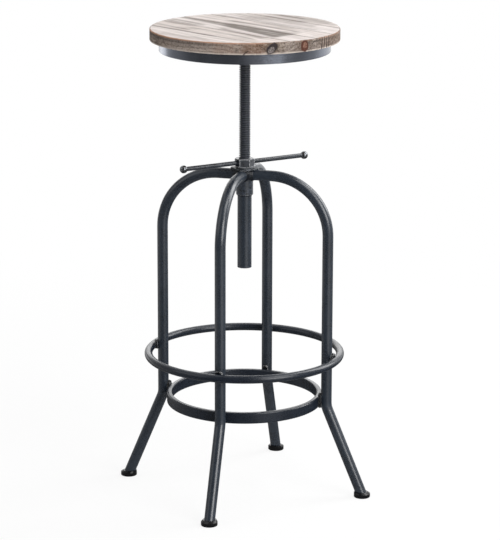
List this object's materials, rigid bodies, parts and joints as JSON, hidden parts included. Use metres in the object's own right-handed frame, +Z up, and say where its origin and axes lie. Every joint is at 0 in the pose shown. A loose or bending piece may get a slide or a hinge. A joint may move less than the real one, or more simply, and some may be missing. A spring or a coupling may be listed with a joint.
{
  "type": "bar stool",
  "caption": "Backless bar stool: round plank seat on a threaded spindle that screws through a four-legged bent-tube frame, with a T-handle lock nut and two foot rings.",
  "frame": {"origin": "on the floor, on the spindle's axis", "axes": "+Z up along the spindle; the legs stand on the diagonals, and -Y is the front bay between two legs"},
  "size_m": [0.3548, 0.3548, 0.833],
  "materials": {
    "dark_steel": "satin",
    "weld_metal": "satin",
    "worn_steel": "satin",
    "thread_steel": "satin",
    "hoop_steel": "satin",
    "black_plastic": "gloss",
    "weathered_wood": "matte"
  },
  "bodies": {
    "frame": {"leg_front_left": "dark_steel", "leg_front_right": "dark_steel", "leg_rear_right": "dark_steel", "leg_rear_left": "dark_steel", "foot_cap_front_left": "black_plastic", "foot_cap_front_right": "black_plastic", "foot_cap_rear_right": "black_plastic", "foot_cap_rear_left": "black_plastic", "leg_hub_welds": "weld_metal", "outer_ring_welds": "weld_metal", "inner_ring_welds": "weld_metal", "outer_foot_ring": "dark_steel", "inner_foot_ring": "dark_steel", "hub_collar": "dark_steel", "hub_top_plate": "dark_steel", "screw_sleeve": "dark_steel", "sleeve_weld": "weld_metal"},
    "lock_washer": {"lock_washer": "worn_steel"},
    "lock_nut": {"lock_nut": "worn_steel", "handle_rod_left": "worn_steel", "handle_rod_right": "worn_steel", "handle_knob_left": "worn_steel", "handle_knob_right": "worn_steel", "handle_welds": "weld_metal"},
    "stop_washer": {"stop_washer": "worn_steel"},
    "seat": {"spindle": "thread_steel", "stop_bolt": "worn_steel", "spindle_flange": "dark_steel", "spindle_flange_weld": "weld_metal", "seat_hoop": "hoop_steel", "cross_bar_long": "dark_steel", "cross_bar_front": "dark_steel", "cross_bar_rear": "dark_steel", "cross_bar_welds": "weld_metal", "wood_screws": "worn_steel", "seat_board_1": "weathered_wood", "seat_board_2": "weathered_wood", "seat_board_3": "weathered_wood", "seat_board_4": "weathered_wood", "seat_board_5": "weathered_wood", "seat_board_6": "weathered_wood"}
  },
  "joints": [
    {"name": "handle_turn", "type": "hinge", "parent": "frame", "child": "lock_washer", "pos_m": [0, 0, 0.5871], "axis": [0, 0, 1], "range_deg": [0, 1080]},
    {"name": "nut_rise", "type": "slide", "parent": "lock_washer", "child": "lock_nut", "axis": [0, 0, 1], "range_m": [0, 0.01201]},
    {"name": "seat_lift", "type": "slide", "parent": "frame", "child": "stop_washer", "axis": [0, 0, 1], "range_m": [-0.08005, 0.04005]},
    {"name": "seat_turn", "type": "hinge", "parent": "stop_washer", "child": "seat", "pos_m": [0, 0, 0.5613], "axis": [0, 0, 1], "range_deg": [-7200, 3600]}
  ],
  "couplings": [
    {"joint": "nut_rise", "follows": "handle_turn", "m_per_rad": 0.00063662},
    {"joint": "seat_lift", "follows": "seat_turn", "m_per_rad": 0.00063662}
  ]
}
